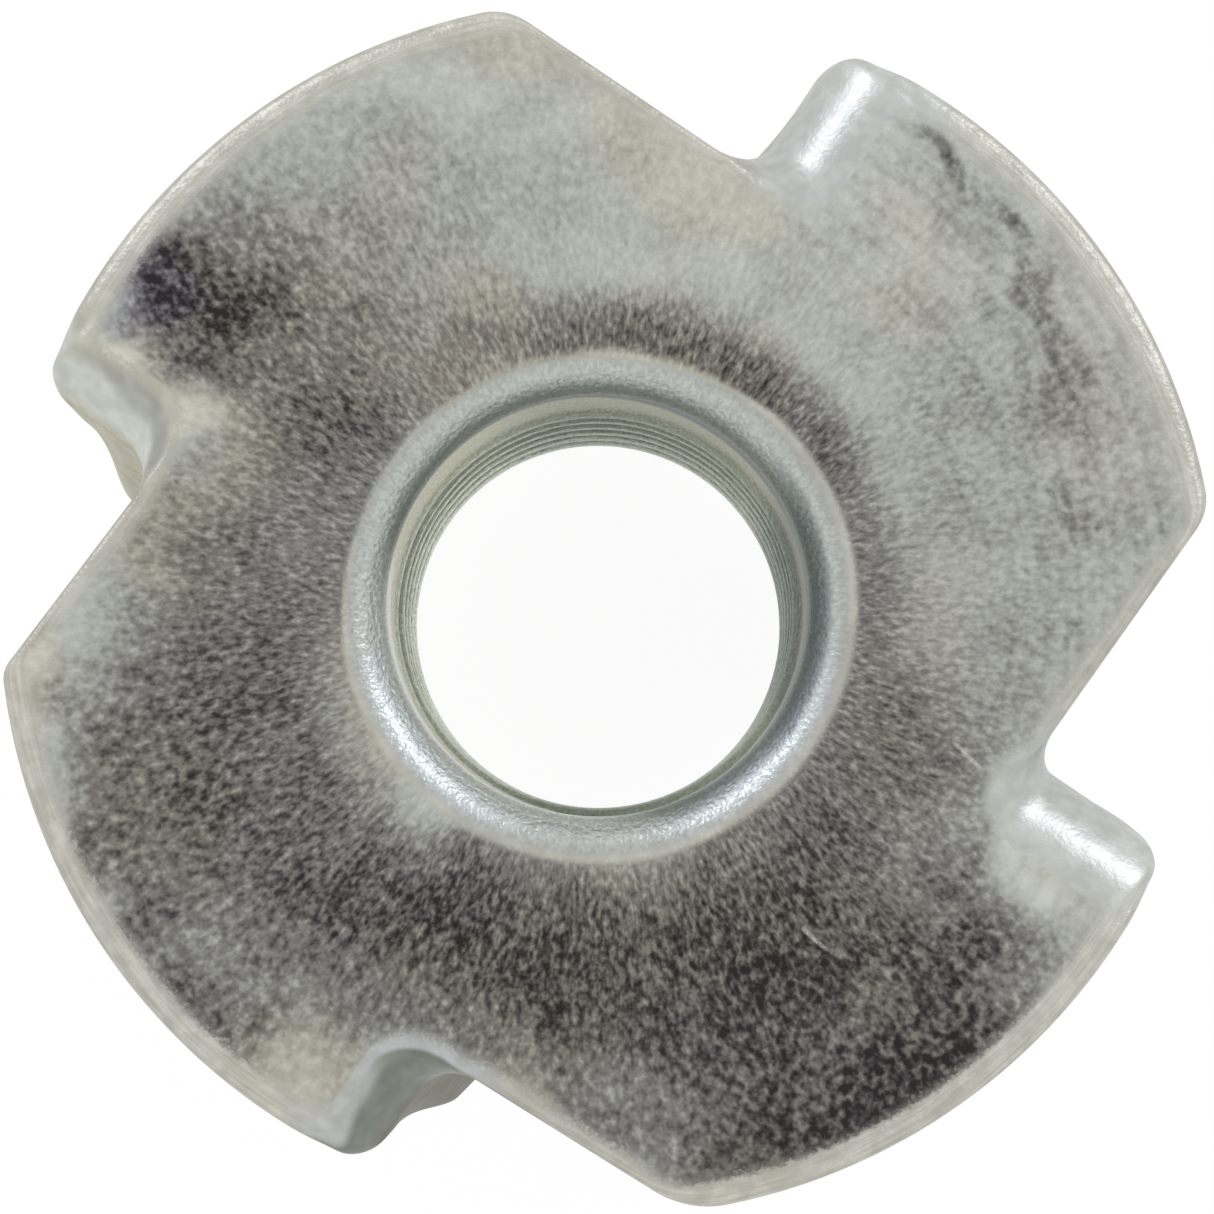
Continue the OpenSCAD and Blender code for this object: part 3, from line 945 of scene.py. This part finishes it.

# Plate's colour as it darkens, and how the level of darkening and speckle is carried onto these stops.
PLATE_STOPS = (
    (0.0, (0.63, 0.63, 0.575)),
    (0.1875, (0.465, 0.465, 0.422)),
    (0.5, (0.225, 0.215, 0.197)),
    (0.8125, (0.078, 0.072, 0.07)),
    (1.0, (0.03, 0.027, 0.027)),
)
LEVEL_OFFSET = 0.3
LEVEL_SCALE = 0.625
COOL_TINT = (0.97, 1.0, 1.01)
WARM_TINT = (1.02, 1.0, 0.94)
# Tints of single patches on the driving face: place right and up, radius and what the tone is multiplied by.
TINTS = (
    (-9.4, 6.5, 1.4, (0.96, 0.98, 1.17)),
    (-9.6, 4.6, 2.0, (1.03, 1.01, 0.93)),
    (5.0, 7.6, 2.2, (0.98, 1.01, 1.01)),
)
TINT_FULL = 0.3

# Tones of the smooth bands: clean, rubbed and at the four notches' folds, with these places right and up. The
# folds' tones are a painted sheen of the lamps.
CLEAN_BAND = (0.56, 0.55, 0.495)
RUBBED_BAND = (0.47, 0.455, 0.4)
CRESTS = (
    (5.3, 9.7, (0.53, 0.55, 0.54)),
    (9.9, -4.6, (0.54, 0.555, 0.53)),
    (-9.4, 4.6, (0.49, 0.49, 0.42)),
    (-4.2, -9.6, (0.49, 0.51, 0.52)),
)
# How often the rubs change across a band and along it, and how ragged the bands' edges are.
RUBS_ACROSS, RUBS_ALONG = 9.0, 0.7
RAGGED, LIP_RAGGED = 0.4, 0.4
# Where up the lip its band is set in at the top, and by how much.
LIP_TOP = (3.7, 5.1)
LIP_TOP_SHIFT = 0.2
# Layers over the smooth bands: mask, how it blends and colour; the second is painted light on the rim's outer
# edge.
BAND_LAYERS = (
    ("mottled", "MULTIPLY", (0.85, 0.85, 0.84)),
    ("rim_painted_light", "MULTIPLY", (1.12, 1.12, 1.12)),
)

# The lip's tones from its foot to its crest, as shares of the way between these two radii: a painted
# reflection, lightest part way down the steep side and darker at the foot.
LIP_RADII = (4.4, 5.5)
LIP_STOPS = (
    (0.0, (0.3, 0.34, 0.32)),
    (0.1, (0.42, 0.455, 0.425)),
    (0.2, (0.52, 0.56, 0.525)),
    (0.3, (0.58, 0.615, 0.58)),
    (0.5, (0.54, 0.57, 0.54)),
    (0.75, (0.42, 0.44, 0.415)),
)
# Layers over the lip, over the throat's own tone and over both. Over the lip: painted shade on its right and
# lower right, a painted highlight on its lower sides and painted light at its foot on the lower left. Over the
# throat: painted light high up on the lower left and on its left, painted shade on its right, and painted shade
# over its top down to a line that is lower on the right and higher on the lower left.
LIP_LAYERS = (
    ("lip_painted_shade", "MIX", (0.26, 0.29, 0.29)),
    ("lip_painted_highlight", "MULTIPLY", (1.14, 1.16, 1.22)),
    ("lip_foot_painted_light", "MIX", (0.95, 0.98, 0.94)),
)
THROAT = (0.6, 0.6, 0.49)
THROAT_LAYERS = (
    ("thread", "MIX", (0.64, 0.68, 0.6)),
    ("throat_top_painted_light", "MIX", (0.95, 0.96, 0.9)),
    ("throat_left_painted_light", "MULTIPLY", (1.45, 1.42, 1.4)),
    ("throat_right_painted_shade", "MULTIPLY", (0.62, 0.64, 0.68)),
    ("shade", "MIX", (0.27, 0.3, 0.29)),
)
SHADE_LEFT = 0.6
BORE_LAYERS = (
    ("streaked", "MULTIPLY", (0.84, 0.84, 0.84)),
    ("grained", "MULTIPLY", (0.8, 0.8, 0.8)),
)

# Painted light and shade on the steep faces in the left and bottom notches, light on the left one's web and
# shade on most of the bottom one: place right and up, tones of the bend's thin and wide ends, the web and the
# prong, and where along the notch the bend is thin and wide.
PAINTED_FACE_LIGHT_AND_SHADE = (
    (-9.6, 4.3, (0.5, 0.49, 0.43), (0.43, 0.43, 0.405), (0.62, 0.65, 0.6), (0.53, 0.5, 0.39), -10.9, -9.6),
    (-3.6, -10.0, (0.21, 0.225, 0.2), (0.47, 0.49, 0.47), (0.225, 0.245, 0.215), (0.17, 0.17, 0.13),
     -3.9, -5.2),
)
PRESSED_MOTTLE = (0.84, 0.84, 0.83)
BEND_TOP = FACE - 0.03
THIN_BEND = 0.1
WIDE_BEND = 0.3

# Scratches on the driving face: place right and up, heading in degrees and length in mm; their tone, and the
# shares of the length at which one ends and is whole.
SCRATCHES = (
    (7.7, -3.2, -45.0, 0.95),
    (4.5, -7.0, -42.0, 0.8),
    (5.0, 1.5, 20.0, 0.4),
)
SCRATCH_TONE = (0.5, 0.5, 0.47)
SCRATCH_END = 0.5
SCRATCH_WHOLE = 0.35
RELIEF_DEPTH = 0.05


def mask(n, at, name):
    """The mask of that name: all its parts multiplied together."""
    parts = [(getattr(at, value), step) for value, *step in MASKS[name]]
    return n.product(*[n.ramp(value, *step) if step else value for value, step in parts])


def laid_over(n, at, tone, layers):
    """Tone with its layers laid over it in turn."""
    for name, blend, colour in layers:
        tone = n.mix(mask(n, at, name), tone, colour, blend)
    return tone


def surface(n):
    """What the plating reads at a place on the nut: where it is in mm, and the noises there.

    The places' x and y run right and up of the bore in the camera's bearing. The streaks are noise on
    (K cos a, K sin a, L (r + z)), so that they run out from the bore, and down the barrel on its walls.
    """
    to_mm = n.add("ShaderNodeMapping")
    to_mm.inputs["Scale"].default_value = (1.0 / MM, 1.0 / MM, 1.0 / MM)
    to_mm.inputs["Rotation"].default_value = (0.0, 0.0, -math.radians(VIEW["bearing"]))
    mm = n.fill(to_mm, n.add("ShaderNodeTexCoord").outputs["Object"])
    x, y, z = n.parts(mm)
    r = n.math("SQRT", n.total(n.product(x, x), n.product(y, y)))
    safe_r = n.math("MAXIMUM", r, NEAREST_AXIS)
    cosine, sine = n.math("DIVIDE", x, safe_r), n.math("DIVIDE", y, safe_r)
    round_bore = [n.product(share, STREAKS_ROUND) for share in (cosine, sine)]
    streak_place = n.combined(*round_bore, n.product(n.total(r, z), STREAKS_OUT))
    wander = n.noise("wander", mm, "Color")
    shift = n.vector("MULTIPLY_ADD", wander, (2.0 * WANDER, 2.0 * WANDER, 0.0), (-WANDER, -WANDER, 0.0))
    return SimpleNamespace(
        mm=mm, x=x, y=y, z=z, r=r,
        moved=n.vector("ADD", mm, shift),
        plan=n.vector("MULTIPLY", mm, (1.0, 1.0, 0.0)),
        up_left=n.math("SUBTRACT", y, x),
        up_right=n.total(x, y),
        streak=n.noise("streak", streak_place),
        grain=n.noise("grain", mm),
        mottle=n.noise("mottle", mm),
        rings=n.noise("rings", n.combined(n.product(r, RINGS_OUT), n.product(sine, RINGS_UP))),
        edge=n.add("ShaderNodeAttribute", attribute_name="from_edge").outputs["Fac"],
    )


def darkening_amount(n, at):
    """Amount of darkening: cloud + the patches of painted dark reflection + the painted shade round the lip,
    heaviest on its top side and lifted below it as painted light + the arcs and rings on the right lobe.
    """
    at.cloud = n.noise("cloud", at.mm)
    darkening = mask(n, at, "cloudy")
    # Painted dark reflection, heaviest towards the bottom.
    for right, up, radius, strength in PAINTED_REFLECTION_PATCHES:
        darkening = n.total(darkening, n.ramp(n.distance(at.moved, right, up, FACE), radius, 0.0, 0.0, strength))
    at.arc = n.distance(at.moved, *ARC_MIDDLE, FACE)
    blotch = n.product(n.noise("blotch", at.mm), 1.0 - RINGS_SHARE)
    at.blotchy = n.total(n.product(at.rings, RINGS_SHARE), blotch)
    lobe = n.product(n.total(mask(n, at, "outer_arc"), mask(n, at, "inner_arc")), mask(n, at, "lobe"))
    drawn = n.product(n.math("SUBTRACT", at.rings, 0.5), mask(n, at, "drawn"))
    # Adds the painted shade round the lip's top and the painted light below it.
    return n.total(darkening, drawn, mask(n, at, "lip_top_painted_shade"), mask(n, at, "lip_low_painted_light"), lobe)


def smooth_bands(n, at):
    """Masks of all smooth bands and of the lip's own, with ragged edges."""
    ragged = n.product(n.math("SUBTRACT", n.total(at.streak, at.grain), 1.0), RAGGED)
    at.ragged_edge = n.total(at.edge, ragged)
    lip_shift = n.ramp(at.y, *LIP_TOP, mask(n, at, "lip_left"), LIP_TOP_SHIFT)
    at.ragged_lip = n.total(at.r, lip_shift, n.product(ragged, LIP_RAGGED))
    lip = mask(n, at, "lip_band")
    return n.math("MAXIMUM", mask(n, at, "edge_band"), lip), lip


def plate_tone(n, at):
    """Tone of the plate: PLATE_STOPS at darkening + speckle amount(darkening), times its tints."""
    darkening = n.math("MINIMUM", n.product(darkening_amount(n, at), mask(n, at, "darkening_off_band")), MOST_DARKENING)
    offset, streaks, grains = SPECKLE
    speckle = n.math("SUBTRACT", offset, n.total(n.product(at.streak, streaks), n.product(at.grain, grains)))
    clean, dark = SPECKLE_AMOUNT
    amount = n.product(n.total(clean, n.product(darkening, dark)), mask(n, at, "speckle_off_band"))
    level = n.total(darkening, n.product(speckle, amount), LEVEL_OFFSET)
    tone = n.colours(n.product(level, LEVEL_SCALE), PLATE_STOPS)
    at.hue = n.noise("hue", at.mm)
    tint = n.mix(mask(n, at, "warm"), COOL_TINT, WARM_TINT)
    for right, up, radius, patch_tint in TINTS:
        near = n.ramp(n.distance(at.moved, right, up, FACE), radius, TINT_FULL * radius)
        tint = n.mix(near, tint, patch_tint)
    return n.mix(1.0, tone, tint, "MULTIPLY")


def band_tones(n, at):
    """Tone of the smooth bands with a painted sheen at the four folds and painted light on the rim's edge, and
    the mask of the four folds where they are crests.
    """
    along = [n.product(value, RUBS_ALONG) for value in (at.x, at.y)]
    at.rubs = n.noise("rubs", n.combined(n.product(at.edge, RUBS_ACROSS), *along))
    tone = n.mix(mask(n, at, "rubbed"), CLEAN_BAND, RUBBED_BAND)
    folded = 0.0
    # Painted sheen of the lamps round each fold's crest.
    for right, up, crest_tone in CRESTS:
        near = n.ramp(n.distance(at.plan, right, up), *CREST_NEAR)
        tone = n.mix(near, tone, crest_tone)
        folded = n.math("MAXIMUM", folded, near)
    return laid_over(n, at, tone, BAND_LAYERS), folded


def bore_tones(n, at):
    """Tone down the hole: pale crest of the lip, greenish steep side, cream throat and greenish thread, with
    painted shade on the right and over the throat's top, and painted light and highlights on the lower sides.
    """
    # Painted shade on the right side, painted light on the lower left.
    at.shaded = n.math("MINIMUM", n.total(mask(n, at, "right_side"), mask(n, at, "low_right")), 1.0)
    at.lit = mask(n, at, "low_left")
    at.aside = n.math("ABSOLUTE", at.x)
    foot = n.total(mask(n, at, "shade_foot"), n.product(at.lit, SHADE_LEFT))
    at.above_foot = n.math("SUBTRACT", at.z, foot)
    along_lip = n.fill(n.add("ShaderNodeMapRange"), at.r, *LIP_RADII)
    lip_tone = laid_over(n, at, n.colours(along_lip, LIP_STOPS), LIP_LAYERS)
    throat_tone = laid_over(n, at, THROAT, THROAT_LAYERS)
    return laid_over(n, at, n.mix(mask(n, at, "below_lip"), lip_tone, throat_tone), BORE_LAYERS)


def pressed(n, at, tone):
    """Tone with painted light and shade on the two steep webs: one tone where they bend over, others below that
    and on the prong.
    """
    depth = n.math("SUBTRACT", BEND_TOP, at.z)
    on_prong = mask(n, at, "prong")
    below_face = mask(n, at, "below_face")
    mottled = n.mix(mask(n, at, "web_mottled"), (1.0, 1.0, 1.0), PRESSED_MOTTLE)
    # Painted light and shade on each steep face.
    for right, up, thin_tone, wide_tone, web_tone, prong_tone, thin_at, wide_at in PAINTED_FACE_LIGHT_AND_SHADE:
        near = n.ramp(n.distance(at.plan, right, up), *PRESSED_NEAR)
        bend_tone = n.mix(n.ramp(at.x, thin_at, wide_at), thin_tone, wide_tone)
        bend_foot = n.ramp(at.x, thin_at, wide_at, THIN_BEND, WIDE_BEND)
        bent = n.ramp(n.math("SUBTRACT", depth, bend_foot), *BENT)
        face = n.mix(on_prong, n.mix(bent, bend_tone, web_tone), prong_tone)
        tone = n.mix(n.product(near, below_face), tone, n.mix(1.0, face, mottled, "MULTIPLY"))
    return tone


def scratched(n, at, tone):
    """Tone with the scratches: short light lines along their headings."""
    at.scratch = 0.0
    for right, up, heading, length in SCRATCHES:
        turn = (0.0, 0.0, math.radians(heading))
        along = n.fill(n.add("ShaderNodeMapping", vector_type="TEXTURE"), at.plan, (right, up, 0.0), turn)
        run, off = [n.math("ABSOLUTE", part) for part in n.parts(along)[:2]]
        whole = n.ramp(run, SCRATCH_END * length, SCRATCH_WHOLE * length)
        at.scratch = n.math("MAXIMUM", at.scratch, n.product(whole, n.ramp(off, *SCRATCH_ACROSS)))
    return n.mix(mask(n, at, "scratched"), tone, SCRATCH_TONE)


def plating(name):
    """Zinc plate: pale grey metal, speckled along the drawing direction, with a dark reflection painted on it,
    heaviest towards the bottom.

    The tone is the plate's, then the smooth bands', the bore's, the pressed faces' painted light and shade and
    the scratches', each laid over the one before by its own mask. Rolled edges stay smooth and pale.
    """
    material = bpy.data.materials.new(name)
    material.use_nodes = True
    n = Nodes(material.node_tree)
    at = surface(n)
    at.band, at.lip = smooth_bands(n, at)
    band_tone, folded = band_tones(n, at)
    tone = n.mix(mask(n, at, "banded"), plate_tone(n, at), band_tone)
    tone = n.mix(mask(n, at, "bore"), tone, bore_tones(n, at))
    tone = scratched(n, at, pressed(n, at, tone))
    at.crest = n.product(at.band, folded)
    rough = n.mix(mask(n, at, "into_lip"), mask(n, at, "crest_rough"), mask(n, at, "lip_rough"))
    bump = n.add("ShaderNodeBump")
    for value, socket in ((mask(n, at, "relief"), "Strength"), (RELIEF_DEPTH * MM, "Distance"),
                          (n.noise("relief", at.mm), "Height")):
        n.put(value, bump.inputs[socket])
    shader = n.add("ShaderNodeBsdfPrincipled")
    for value, socket in ((tone, "Base Color"), (1.0, "Metallic"), (bump.outputs[0], "Normal"),
                          (n.math("MAXIMUM", rough, mask(n, at, "deep_rough")), "Roughness")):
        n.put(value, shader.inputs[socket])
    n.show("ShaderNodeOutputMaterial", shader.outputs[0])
    return material


class TEENUT_OT_shell(bpy.types.Operator):
    """Make the pressed and threaded shell and plate it"""

    bl_idname = "teenut.shell"
    bl_label = "Shell"

    def execute(self, context):
        nut = shell_sizes(context.scene.teenut_shell)
        mesh = grid_mesh("shell", *shell_grid(nut))
        shell = bpy.data.objects.new("shell", mesh)
        context.scene.collection.objects.link(shell)
        mesh.materials.append(plating("zinc_plate"))
        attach(shell, BODY)
        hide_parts(NODE)
        return {"FINISHED"}


# The camera looks down on the driving face: bearing, elevation and roll in degrees, distance and the point
# it looks at in mm, and its scale as pixels a mm on the face in an image 1214 pixels wide.
IMAGE_PIXELS = 1214.0
VIEW = {"bearing": 34.71, "elevation": 87.34, "roll": -0.09, "distance": 90.4, "right": -0.194, "up": 0.082,
        "scale": 47.967}
SENSOR = 36.0
NEAR_CLIP = 1.0 * MM
FAR_CLIP = 10.0
# Soft boxes: name, and place right, up and above the driving face in mm, with the side of both.
SOFT_BOXES = (("left_box", -120.0, 150.0, 90.0), ("right_box", 140.0, 110.0, 90.0))
BOX_SIDE = 54.0
FLOOR_REACH = 1.0


def view_axes():
    """Right, up and forward of the camera, before its roll."""
    a, e = math.radians(VIEW["bearing"]), math.radians(VIEW["elevation"])
    forward = Vector((-math.sin(a) * math.cos(e), math.cos(a) * math.cos(e), -math.sin(e)))
    right = Vector((math.cos(a), math.sin(a), 0.0))
    return right, right.cross(forward), forward


def place_camera(scene, aim):
    """Camera on a line through the face, whose lens gives the scale: f = sensor scale distance / image."""
    right, up, forward = view_axes()
    target = aim - right * VIEW["right"] * MM - up * VIEW["up"] * MM
    data = bpy.data.cameras.new("camera")
    data.sensor_width = SENSOR
    data.lens = SENSOR * VIEW["scale"] * VIEW["distance"] / IMAGE_PIXELS
    data.clip_start = NEAR_CLIP
    data.clip_end = FAR_CLIP
    camera = bpy.data.objects.new("camera", data)
    turn = Matrix((right, up, -forward)).transposed()
    turn = turn @ Matrix.Rotation(math.radians(VIEW["roll"]), 3, "Z")
    camera.matrix_world = Matrix.Translation(target - forward * VIEW["distance"] * MM) @ turn.to_4x4()
    scene.collection.objects.link(camera)
    scene.camera = camera


def soft_box(scene, look, name, aim, along_right, along_up, above):
    """Square lamp that faces the nut from aim + right r + up u + above z, all in mm."""
    right, up, _ = view_axes()
    place = aim + right * along_right * MM + up * along_up * MM + Vector((0.0, 0.0, above * MM))
    data = bpy.data.lights.new(name, "AREA")
    data.shape = "SQUARE"
    data.size = BOX_SIDE * MM
    data.energy = look.lamp_power
    data.color = look.lamp_colour
    lamp = bpy.data.objects.new(name, data)
    turn = (aim - place).to_track_quat("-Z", "Y").to_matrix().to_4x4()
    lamp.matrix_world = Matrix.Translation(place) @ turn
    scene.collection.objects.link(lamp)


def seen_directly(n):
    """1 for a ray that shows the background: from the camera, or off or through a surface."""
    path = n.add("ShaderNodeLightPath")
    seen = n.math("MAXIMUM", path.outputs["Is Camera Ray"], path.outputs["Is Glossy Ray"])
    return n.math("MAXIMUM", seen, path.outputs["Is Transmission Ray"])


def floor_paint(look):
    """Paint that is matt to the lamps, and to a direct look white less what the nut's shadow takes away.

    Seen directly it is a glow of 1 - shadow room_light and a matt paint of shadow. From below it is clear.
    """
    paint = bpy.data.materials.new("floor")
    paint.use_nodes = True
    n = Nodes(paint.node_tree)
    matt = n.fill(n.add("ShaderNodeBsdfDiffuse"), look.backdrop)
    glow = n.fill(n.add("ShaderNodeEmission"), look.backdrop, 1.0 - look.shadow * look.room_light)
    shaded = n.fill(n.add("ShaderNodeBsdfDiffuse"), look.shadow * look.backdrop)
    white = n.fill(n.add("ShaderNodeAddShader"), glow, shaded)
    either = n.fill(n.add("ShaderNodeMixShader"), seen_directly(n), matt, white)
    clear = n.add("ShaderNodeBsdfTransparent").outputs[0]
    behind = n.add("ShaderNodeNewGeometry").outputs["Backfacing"]
    one_sided = n.fill(n.add("ShaderNodeMixShader"), behind, either, clear)
    n.show("ShaderNodeOutputMaterial", one_sided)
    return paint


def make_floor(scene, look):
    """Floor under the nut, out to its reach either way."""
    mesh = bpy.data.meshes.new("floor")
    corners = [(x * FLOOR_REACH, y * FLOOR_REACH, 0.0) for x, y in ((-1, -1), (1, -1), (1, 1), (-1, 1))]
    mesh.from_pydata(corners, [], [(0, 1, 2, 3)])
    floor = bpy.data.objects.new("floor", mesh)
    scene.collection.objects.link(floor)
    mesh.materials.append(floor_paint(look))


def studio_world(look):
    """World that lights the nut as a dim room and is white where it is seen."""
    world = bpy.data.worlds.new("studio")
    world.use_nodes = True
    n = Nodes(world.node_tree)
    strength = n.total(look.room_light, n.product(seen_directly(n), 1.0 - look.room_light))
    n.show("ShaderNodeOutputWorld", n.fill(n.add("ShaderNodeBackground"), look.backdrop, strength))
    return world


class TEENUT_OT_stage(bpy.types.Operator):
    """Make the floor, world, lamps and camera"""

    bl_idname = "teenut.stage"
    bl_label = "Stage"

    def execute(self, context):
        scene = context.scene
        look = scene.teenut_stage
        aim = Vector((0.0, 0.0, scene.teenut_shell.height))
        make_floor(scene, look)
        scene.world = studio_world(look)
        for name, *place in SOFT_BOXES:
            soft_box(scene, look, name, aim, *place)
        place_camera(scene, aim)
        scene.view_settings.view_transform = "Standard"
        return {"FINISHED"}


class TEENUT_PT_panel(bpy.types.Panel):
    """Lists the nut's pieces and sizes"""

    bl_idname = "TEENUT_PT_panel"
    bl_label = "Tee nut"
    bl_space_type = "VIEW_3D"
    bl_region_type = "UI"
    bl_category = "Tee nut"

    def draw(self, context):
        layout = self.layout
        for group, operator in (("teenut_shell", "teenut.shell"), ("teenut_stage", "teenut.stage")):
            box = layout.box()
            settings = getattr(context.scene, group)
            for name in settings.__annotations__:
                box.prop(settings, name)
            box.operator(operator)


CLASSES = (ShellSizes, StageLook, TEENUT_OT_shell, TEENUT_OT_stage, TEENUT_PT_panel)


def register():
    for cls in CLASSES:
        bpy.utils.register_class(cls)
    bpy.types.Scene.teenut_shell = bpy.props.PointerProperty(type=ShellSizes)
    bpy.types.Scene.teenut_stage = bpy.props.PointerProperty(type=StageLook)


def unregister():
    del bpy.types.Scene.teenut_stage
    del bpy.types.Scene.teenut_shell
    for cls in reversed(CLASSES):
        bpy.utils.unregister_class(cls)


def main():
    register()
    bpy.ops.teenut.shell()
    bpy.ops.teenut.stage()


if __name__ == "__main__":
    main()
